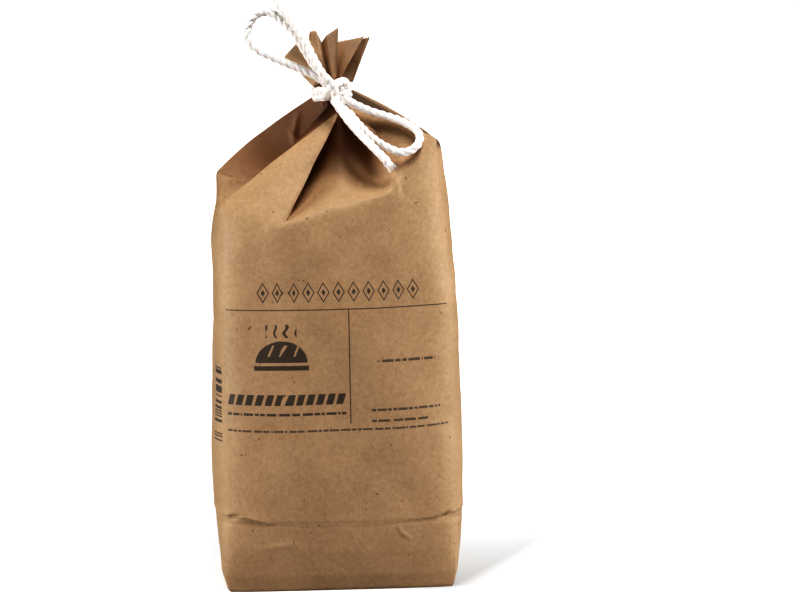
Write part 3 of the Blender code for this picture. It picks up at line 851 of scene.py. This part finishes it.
def frayed_mesh(name, tip, ahead):
    """Fine fibres that spread from a cut end of the cord."""
    ahead = ahead / np.linalg.norm(ahead)
    side = np.cross(ahead, (0.0, 0.0, 1.0))
    side /= np.linalg.norm(side)
    up = np.cross(side, ahead)
    rings, faces = [], []
    for number in range(FIBRES):
        turn = number % 3 * 2 * math.pi / 3 + rng.normal(0.0, 0.5)
        lean = abs(rng.normal(0.0, 0.32))
        reach = rng.uniform(1.2, 3.0)
        out = side * math.cos(turn) + up * math.sin(turn)
        start = tip + out * rng.uniform(0.2, 1.6) - ahead * 1.2
        curl = (side * rng.normal() + up * rng.normal()) * 0.25
        way = ahead * math.cos(lean) + out * math.sin(lean)
        for step in range(FIBRE_STEPS + 1):
            share = step / FIBRE_STEPS
            middle = start + way * (reach + 1.0) * share + curl * share ** 2
            radius = FIBRE_RADIUS * (1.05 - share * 0.7)
            for a in np.arange(FIBRE_SIDES) * 2 * math.pi / FIBRE_SIDES:
                rings.append(middle + (side * math.cos(a) + up * math.sin(a)) * radius)
        low = number * (FIBRE_STEPS + 1) * FIBRE_SIDES
        tip_ring = low + FIBRE_STEPS * FIBRE_SIDES
        for step in range(FIBRE_STEPS):
            here = low + step * FIBRE_SIDES
            there = here + FIBRE_SIDES
            for j in range(FIBRE_SIDES):
                after = (j + 1) % FIBRE_SIDES
                faces.append((here + j, here + after, there + after, there + j))
        faces.append(tuple(low + j for j in reversed(range(FIBRE_SIDES))))
        faces.append(tuple(tip_ring + j for j in range(FIBRE_SIDES)))
    mesh = bpy.data.meshes.new(name)
    mesh.from_pydata((np.array(rings) * MM).tolist(), [], faces)
    mesh.shade_smooth()
    mesh.uv_layers.new(name="lay")
    return mesh


def twisted_mesh(name, spine, closed, phase, frayed=False):
    """A closed mesh of twisted cord along its middle line, in millimetres."""
    turn, tight_radius = strand_section(CORD_POINTS)
    loose_radius = strand_section(CORD_POINTS, 1.0)[1]
    count = len(spine)
    if closed:
        ahead = np.roll(spine, -1, axis=0) - np.roll(spine, 1, axis=0)
    else:
        ahead = np.gradient(spine, axis=0)
    ahead /= np.linalg.norm(ahead, axis=1, keepdims=True)
    side = np.cross(ahead[0], (0.0, 0.0, 1.0))
    side /= np.linalg.norm(side)
    sides = []
    for direction in ahead:
        side = side - direction * np.dot(side, direction)
        side /= np.linalg.norm(side)
        sides.append(side)
    sides = np.array(sides)
    ups = np.cross(ahead, sides)
    step = np.linalg.norm(np.diff(spine, axis=0), axis=1)
    along = np.concatenate([[0.0], np.cumsum(step)])
    total = along[-1] + (np.linalg.norm(spine[0] - spine[-1]) if closed else 0.0)
    turns = total / CORD_TURN
    drift = 0.0
    if closed:
        turns = round(turns * 3) / 3
        first = sides[-1] - ahead[0] * np.dot(sides[-1], ahead[0])
        drift = math.atan2(np.dot(first, ups[0]), np.dot(first, sides[0]))
    rings = []
    for k in range(count):
        share = along[k] / total
        spin = phase + 2 * math.pi * turns * share - drift * share
        scale = 1.0
        parted = math.exp(-(total - along[k]) / PARTED_REACH) if frayed else 0.0
        radius = tight_radius + (loose_radius - tight_radius) * parted
        if not closed:
            to_end = min(along[k], total - along[k])
            scale = math.sqrt(max(0.03, 1 - (1 - min(1.0, to_end / END_ROUND)) ** 2))
        angle = turn + spin
        out = np.cos(angle)[:, None] * sides[k] + np.sin(angle)[:, None] * ups[k]
        rings.append(spine[k] + out * (radius * scale)[:, None])
    round_count = len(turn)
    rings = np.array(rings)
    faces = []
    uv = []
    for k in range(count if closed else count - 1):
        low, high = k * round_count, ((k + 1) % count) * round_count
        for j in range(round_count):
            after = (j + 1) % round_count
            faces.append((low + j, low + after, high + after, high + j))
            low_along, high_along = k / count * total, (k + 1) / count * total
            uv += [(j, low_along), (j + 1, low_along), (j + 1, high_along), (j, high_along)]
    if not closed:
        faces.append(tuple(reversed(range(round_count))))
        uv += [(0, 0.0)] * round_count
        faces.append(tuple(range((count - 1) * round_count, count * round_count)))
        uv += [(0, total)] * round_count
    mesh = bpy.data.meshes.new(name)
    mesh.from_pydata((rings.reshape(-1, 3) * MM).tolist(), [], faces)
    mesh.shade_smooth()
    lay = mesh.uv_layers.new(name="lay")
    uv = np.array(uv, float) * np.array([1.0 / round_count, 1.0 / LAY_LENGTH])
    lay.data.foreach_set("uv", uv.reshape(-1))
    return mesh


cotton = Finish("cotton_cord")
cotton_place = cotton.node("ShaderNodeTexCoord", {}, {}).outputs["Object"]
lay_place = cotton.node("ShaderNodeUVMap", {"uv_map": "lay"}, {}).outputs[0]
lay_parts = cotton.node("ShaderNodeSeparateXYZ", {}, {0: lay_place})
lay_round = Value(cotton, lay_parts.outputs[0])
lay_along = Value(cotton, lay_parts.outputs[1]) * LAY_LENGTH
fluff = cotton.noise(cotton_place, 2200.0, 3.0, 0.65)
patches = cotton.noise(cotton_place, 260.0, 2.0)
slanting = lay_along * (YARN_SLANT / CORD_TURN) + lay_round
yarns = (slanting * (2 * math.pi * YARNS)).joined("SINE") * 0.5 + 0.5
cotton_colour = cotton.mixed(fluff * 0.6 + patches * 0.4, colour(246, 240, 236), colour(254, 252, 250))
# painted shade: the grooves between the yarns are painted a little darker
cotton_colour = cotton.mixed((1.0 - yarns) * 0.12, cotton_colour, colour(206, 186, 174))
cotton_bump = cotton.node(
    "ShaderNodeBump", {}, {"Strength": 0.4, "Distance": 0.00012, "Height": yarns * 0.4 + fluff * 0.6}
).outputs[0]
cotton.surface(Base_Color=cotton_colour, Roughness=0.85 + fluff * 0.1, Normal=cotton_bump)
cotton.surface(Specular_IOR_Level=0.3, Sheen_Weight=0.25, Sheen_Roughness=0.5)
cotton.surface(Subsurface_Weight=0.2, Subsurface_Radius=(0.0008, 0.0006, 0.0005))


def add_piece(name, mesh, finish):
    """A finished piece that stands on the bag's own body."""
    mesh.materials.append(finish.material)
    piece = bpy.data.objects.new(name, mesh)
    bpy.context.scene.collection.objects.link(piece)
    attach(piece, "root")
    return piece


# The bow: each loose cord from its end near the knot, its whole visible length
BOW = {
    "loop_left": ("object", 0.4, (
        (-7.0, -13.0, 233.2), (-10.6, -13.0, 235.6), (-14.7, -12.0, 237.5), (-18.8, -11.0, 239.3),
        (-24.2, -10.2, 241.5), (-30.0, -9.6, 244.0), (-35.8, -9.2, 246.9), (-39.4, -8.7, 250.4),
        (-40.5, -8.2, 254.9), (-39.0, -8.2, 259.8), (-35.6, -8.2, 263.2), (-31.1, -8.7, 264.0),
        (-26.7, -9.7, 261.6), (-22.6, -10.8, 257.9), (-19.1, -12.2, 253.8), (-16.4, -13.0, 249.4),
        (-13.6, -13.4, 244.6), (-10.6, -13.6, 239.8), (-6.4, -13.6, 235.2),
    )),
    "tail_left": ("bare", 1.1, (
        (-3.6, -19.2, 232.4), (-7.2, -19.3, 236.4), (-10.2, -18.7, 241.4), (-12.9, -17.6, 246.8),
        (-15.6, -17.0, 252.1), (-18.1, -15.7, 256.7), (-21.2, -14.0, 260.9), (-25.1, -12.2, 265.3),
        (-27.1, -11.2, 269.0), (-28.4, -10.2, 272.6),
    )),
    "loop_right": ("object", 2.0, (
        (5.6, -14.2, 223.6), (9.3, -14.3, 221.8), (15.2, -16.2, 219.3), (21.3, -18.0, 217.4),
        (26.9, -20.8, 215.6), (31.6, -23.6, 213.4), (34.9, -26.6, 210.9), (35.9, -29.6, 207.8),
        (34.4, -32.0, 204.4), (30.7, -33.4, 202.0), (26.3, -33.4, 201.6), (21.6, -31.0, 203.4),
        (16.8, -27.4, 206.2), (12.2, -22.4, 210.2), (8.0, -17.2, 215.0), (4.6, -12.8, 219.6),
    )),
    "tail_right": ("bare", 0.2, (
        (-2.4, -16.4, 225.0), (0.6, -18.3, 220.6), (4.4, -21.7, 215.2), (8.5, -25.3, 210.3),
        (12.6, -30.0, 206.0), (16.7, -33.8, 201.7), (19.9, -35.6, 198.4), (22.0, -36.2, 195.3),
    )),
}
for name, (far_end, phase, route) in BOW.items():
    spine = smooth_route(route, CORD_STEP)
    cord_mesh = twisted_mesh(name, spine, False, phase, frayed=far_end == "bare")
    cord = add_piece(name + "_cord", cord_mesh, cotton)
    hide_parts(name)
    if far_end == "bare":
        fray_mesh = frayed_mesh(name, spine[-1], spine[-1] - spine[-3])
        add_piece(name + "_fray", fray_mesh, cotton)
    length = float(np.linalg.norm(np.diff(spine, axis=0), axis=1).sum())

# The knot
# The same cotton cord: two turns round the neck, pulled tight, and the knot in front of them. The strap and
# the small tight turn at its right cross over the starts of the loops and the loose ends.
WRAP_CLEARANCE = 0.35
WRAP_RADIUS = NECK_RADIUS + WRAP_CLEARANCE + CORD_DIAMETER / 2
WRAP_TILT = math.radians(5.0)
WRAP_HEIGHTS = (226.0, 229.2)
WRAP_STEPS = 108
CROSSING_SPIN = 0.7
WRAP_SPIN = 0.9
CROSSINGS = (
    (
        (1.4, -9.2, 231.4), (0.9, -12.6, 232.6), (-2.6, -14.8, 229.9), (-5.6, -12.8, 226.6),
        (-5.8, -8.4, 225.2),
    ),
    (
        (-1.6, -9.6, 226.6), (2.2, -12.4, 226.6), (4.6, -11.6, 229.3), (3.6, -11.8, 232.4),
        (0.4, -12.0, 233.2),
    ),
    ((-8.8, -13.0, 234.4), (-6.0, -12.6, 232.4), (-3.4, -11.4, 230.6), (-1.6, -9.8, 229.0)),
    ((-7.6, -13.6, 236.4), (-5.4, -13.4, 234.2), (-2.8, -12.8, 231.8), (-0.8, -10.6, 229.6)),
    (
        (-5.4, -19.2, 234.4), (-3.0, -18.6, 231.8), (-1.6, -17.4, 229.2), (-1.4, -15.6, 226.8),
        (-0.8, -17.4, 223.0),
    ),
    ((7.4, -14.3, 222.7), (4.6, -13.4, 224.2), (2.2, -11.8, 226.0), (0.4, -10.0, 227.6)),
    ((6.2, -14.8, 217.4), (3.6, -12.4, 220.8), (1.4, -11.0, 223.4), (0.0, -9.8, 225.8)),
)
knot_meshes = []
for number, route in enumerate(CROSSINGS):
    spine = smooth_route(route, CORD_STEP)
    knot_meshes.append(twisted_mesh(f"crossing {number}", spine, False, CROSSING_SPIN * number))
around = np.linspace(0.0, 2 * math.pi, WRAP_STEPS, endpoint=False)
flat_ring = np.stack([np.cos(around), np.sin(around), np.zeros_like(around)], axis=1) * WRAP_RADIUS
tilt = np.array(Matrix.Rotation(-WRAP_TILT, 3, "Y"))
for number, height in enumerate(WRAP_HEIGHTS):
    ring = flat_ring @ tilt.T + np.array([NECK_X, 0.0, height])
    knot_meshes.append(twisted_mesh(f"wrap {number}", ring, True, WRAP_SPIN * number))
knot_parts = []
for mesh in knot_meshes:
    part = bpy.data.objects.new(mesh.name, mesh)
    bpy.context.scene.collection.objects.link(part)
    knot_parts.append(part)
with bpy.context.temp_override(active_object=knot_parts[0], selected_editable_objects=knot_parts):
    bpy.ops.object.join()
knot = knot_parts[0]
knot.name = "cord_knot"
knot.data.materials.clear()
knot.data.materials.append(cotton.material)
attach(knot, "root")
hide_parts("knot")

# The studio
# A plain white floor under six soft lamps: a strong one at each side, a strong one above, two weak ones in
# front and a weak one behind. The floor glows, so that it shows as white as in the photograph.
FLOOR_HALF = 6.0
GLOW_NEAR = (0.85, 0.85, 0.85, 1.0)
GLOW_FAR = (1.3, 1.3, 1.3, 1.0)
FLOOR_SEEN = (0.35, 0.35, 0.35, 1.0)
FLOOR_LIT = (0.5, 0.5, 0.5, 1.0)
BLACK = (0.0, 0.0, 0.0, 1.0)
floor_corners = [(x * FLOOR_HALF, y * FLOOR_HALF, 0.0) for x, y in ((-1, -1), (1, -1), (1, 1), (-1, 1))]
floor_mesh = bpy.data.meshes.new("floor")
floor_mesh.from_pydata(floor_corners, [], [(0, 1, 2, 3)])
floor_finish = Finish("white_floor")
camera_ray = floor_finish.value("ShaderNodeLightPath", {}, {}, output="Is Camera Ray")
floor_place = floor_finish.node("ShaderNodeTexCoord", {}, {}).outputs["Object"]
distance = {"operation": "LENGTH"}
from_bag = floor_finish.value("ShaderNodeVectorMath", distance, {0: floor_place}, output="Value")
floor_parts = floor_finish.node("ShaderNodeSeparateXYZ", {}, {0: floor_place})
floor_x = Value(floor_finish, floor_parts.outputs[0])
floor_y = Value(floor_finish, floor_parts.outputs[1])

# Painted shadow: the bag's shade at its right is painted on the floor, a soft-edged wedge, paler towards the
# back
SHADE_START = (0.058, -0.029)
SHADE_SLANT = (0.813, 0.582)
SHADE_EDGE = 0.014
SHADE_BACK = 0.11
SHADE_DEPTH = 0.14
SHADE_DARKNESS = 0.46
past_edge = (floor_x - SHADE_START[0]) * SHADE_SLANT[0] - (floor_y - SHADE_START[1]) * SHADE_SLANT[1]
painted_shadow = (1.0 - past_edge.above(0.002, SHADE_EDGE)) * floor_x.above(0.02, 0.04)
painted_shadow = painted_shadow * ((SHADE_BACK - floor_y) / SHADE_DEPTH).held() * SHADE_DARKNESS * floor_y.above(-0.034, 0.012)
whiteness = floor_finish.mixed(from_bag.above(0.35, 0.3), GLOW_NEAR, GLOW_FAR)
whiteness = floor_finish.mixed(painted_shadow, whiteness, BLACK)
floor_glow = floor_finish.mixed(camera_ray, BLACK, whiteness)
floor_colour = floor_finish.mixed(camera_ray, FLOOR_LIT, FLOOR_SEEN)
floor_colour = floor_finish.mixed(painted_shadow * camera_ray, floor_colour, BLACK)
floor_finish.surface(Base_Color=floor_colour, Roughness=1.0, Specular_IOR_Level=0.0)
floor_finish.surface(Emission_Color=floor_glow, Emission_Strength=1.0)
floor_mesh.materials.append(floor_finish.material)
floor = bpy.data.objects.new("floor", floor_mesh)
bpy.context.scene.collection.objects.link(floor)


SOFTBOX_DISTANCE = 1.6
SOFTBOX_SIZE = 0.7


def add_softbox(name, place, target, power):
    """A soft square lamp that faces a target."""
    lamp = bpy.data.lights.new(name, "AREA")
    lamp.shape = "SQUARE"
    lamp.size = SOFTBOX_SIZE
    lamp.energy = power
    softbox = bpy.data.objects.new(name, lamp)
    softbox.location = place
    softbox.rotation_euler = (target - place).to_track_quat("-Z", "Y").to_euler()
    softbox.visible_camera = False
    bpy.context.scene.collection.objects.link(softbox)
    return softbox


# Name, bearing from the front towards the right and height above the table in degrees, power in watts
SOFTBOXES = (
    ("left side", -80.0, 0.0, 30.0),
    ("left front", -45.0, 2.0, 1.0),
    ("above", 24.0, 64.0, 27.0),
    ("right front", 45.0, 2.0, 0.8),
    ("right side", 80.0, 0.0, 25.5),
    ("back", 165.0, 12.0, 6.5),
)
bag_middle = Vector((0.0, 0.0, 0.15))
for name, bearing, rise, power in SOFTBOXES:
    bearing, rise = math.radians(bearing), math.radians(rise)
    away = Vector((math.sin(bearing) * math.cos(rise), -math.cos(bearing) * math.cos(rise), math.sin(rise)))
    softbox = add_softbox(name, bag_middle + away * SOFTBOX_DISTANCE, bag_middle, power)
    softbox.visible_glossy = name != "back"


class Surroundings(Finish):
    """The world's own nodes, mixed in the same way as a material's."""

    def __init__(self, world):
        world.use_nodes = True
        self.tree = world.node_tree
        self.shader = self.tree.nodes["Background"]


# The surroundings are white to the camera and shed only a little light
WHITE = (1.0, 1.0, 1.0, 1.0)
ROOM_LIGHT = 0.10
ROOM_SEEN = 1.3
world = bpy.data.worlds.new("white studio")
bpy.context.scene.world = world
room = Surroundings(world)
seen = room.value("ShaderNodeLightPath", {}, {}, output="Is Camera Ray")
room.surface(Color=WHITE, Strength=room.value("ShaderNodeMix", {}, {0: seen, 2: ROOM_LIGHT, 3: ROOM_SEEN}))

# The photograph has a strong contrast: dark browns go darker and richer, and white stays white
CONTRAST = ((0.05, 0.004), (0.13, 0.024), (0.3, 0.122), (0.5, 0.325), (0.7, 0.575), (0.85, 0.79))
look = bpy.context.scene.view_settings
look.view_transform = "Standard"
look.use_curve_mapping = True
curve = look.curve_mapping.curves[3]
for given, shown in CONTRAST:
    curve.points.new(given, shown)
look.curve_mapping.update()
